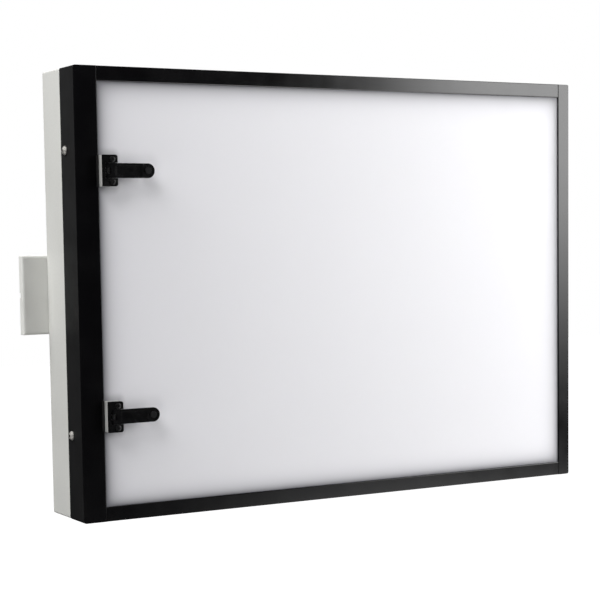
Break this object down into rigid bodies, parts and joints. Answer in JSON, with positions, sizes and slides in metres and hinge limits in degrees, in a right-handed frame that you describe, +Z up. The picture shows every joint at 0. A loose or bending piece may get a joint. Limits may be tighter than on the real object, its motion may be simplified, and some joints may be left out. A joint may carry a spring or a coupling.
{
  "type": "light table",
  "caption": "Upright light table: opal screen in a black frame on a grey steel housing, with sprung film clips and a rear wall rail.",
  "frame": {"origin": "middle of the four wall holes in the rear rail, on the face of the wall", "axes": "+X to the right along the screen's width, +Y back into the wall, +Z up; the screen faces -Y"},
  "size_m": [0.71, 0.1115, 0.482],
  "materials": {
    "frame_black": "satin",
    "housing_grey": "satin",
    "opal": "satin",
    "cover_grey": "matte",
    "spacer_grey": "matte",
    "clip_black": "satin",
    "black_steel": "satin",
    "bright_steel": "polished",
    "zinc_steel": "satin",
    "white_paint": "gloss",
    "lamp_glass": "matte",
    "lamp_metal": "satin",
    "white_plastic": "satin",
    "brass": "satin",
    "cable": "satin",
    "rubber": "matte"
  },
  "bodies": {
    "root": {"left_stile": "frame_black", "right_stile": "frame_black", "top_rail": "frame_black", "bottom_rail": "frame_black", "housing": "housing_grey", "back_panel": "housing_grey", "wall_rail": "housing_grey", "screen": "opal", "end_cover_left": "cover_grey", "end_cover_right": "cover_grey", "clip_spacer_upper": "spacer_grey", "clip_spacer_lower": "spacer_grey", "clip_base_upper": "clip_black", "clip_base_lower": "clip_black", "inlet": "clip_black", "switch_body": "clip_black", "clip_screws": "black_steel", "clip_pin_upper": "black_steel", "clip_pin_lower": "black_steel", "clip_spring_upper": "black_steel", "clip_spring_lower": "black_steel", "side_screws": "bright_steel", "joint_plates": "zinc_steel", "side_nuts": "zinc_steel", "back_screws": "zinc_steel", "hang_hooks": "zinc_steel", "hook_screws": "zinc_steel", "clip_nut_plates": "zinc_steel", "reflector": "white_paint", "end_plates": "white_paint", "lamp_1": "lamp_glass", "lamp_2": "lamp_glass", "lamp_3": "lamp_glass", "lamp_4": "lamp_glass", "lamp_caps": "lamp_metal", "lampholders": "white_plastic", "terminal_block": "white_plastic", "ballast": "white_plastic", "earth_stud": "brass", "inlet_pins": "brass", "mains_wires": "cable", "lamp_wires": "cable", "bumpers": "rubber", "gasket": "rubber"},
    "clip_upper": {"clip_arm_upper": "clip_black", "clip_pad_upper": "rubber", "clip_rivet_upper": "black_steel"},
    "clip_lower": {"clip_arm_lower": "clip_black", "clip_pad_lower": "rubber", "clip_rivet_lower": "black_steel"},
    "rocker": {"switch_rocker": "clip_black"}
  },
  "joints": [
    {"name": "clip_upper_lift", "type": "hinge", "parent": "root", "child": "clip_upper", "pos_m": [-0.2945, -0.1074, 0.1315], "axis": [0, 0, -1], "range_deg": [0, 40], "stiffness_Nm_per_rad": 0.25, "springref_deg": -28.65},
    {"name": "clip_lower_lift", "type": "hinge", "parent": "root", "child": "clip_lower", "pos_m": [-0.2945, -0.1074, -0.128], "axis": [0, 0, -1], "range_deg": [0, 40], "stiffness_Nm_per_rad": 0.25, "springref_deg": -28.65},
    {"name": "power_rocker", "type": "hinge", "parent": "root", "child": "rocker", "pos_m": [0.3232, -0.03, 0.2137], "axis": [0, 1, 0], "range_deg": [-18, 0]}
  ]
}
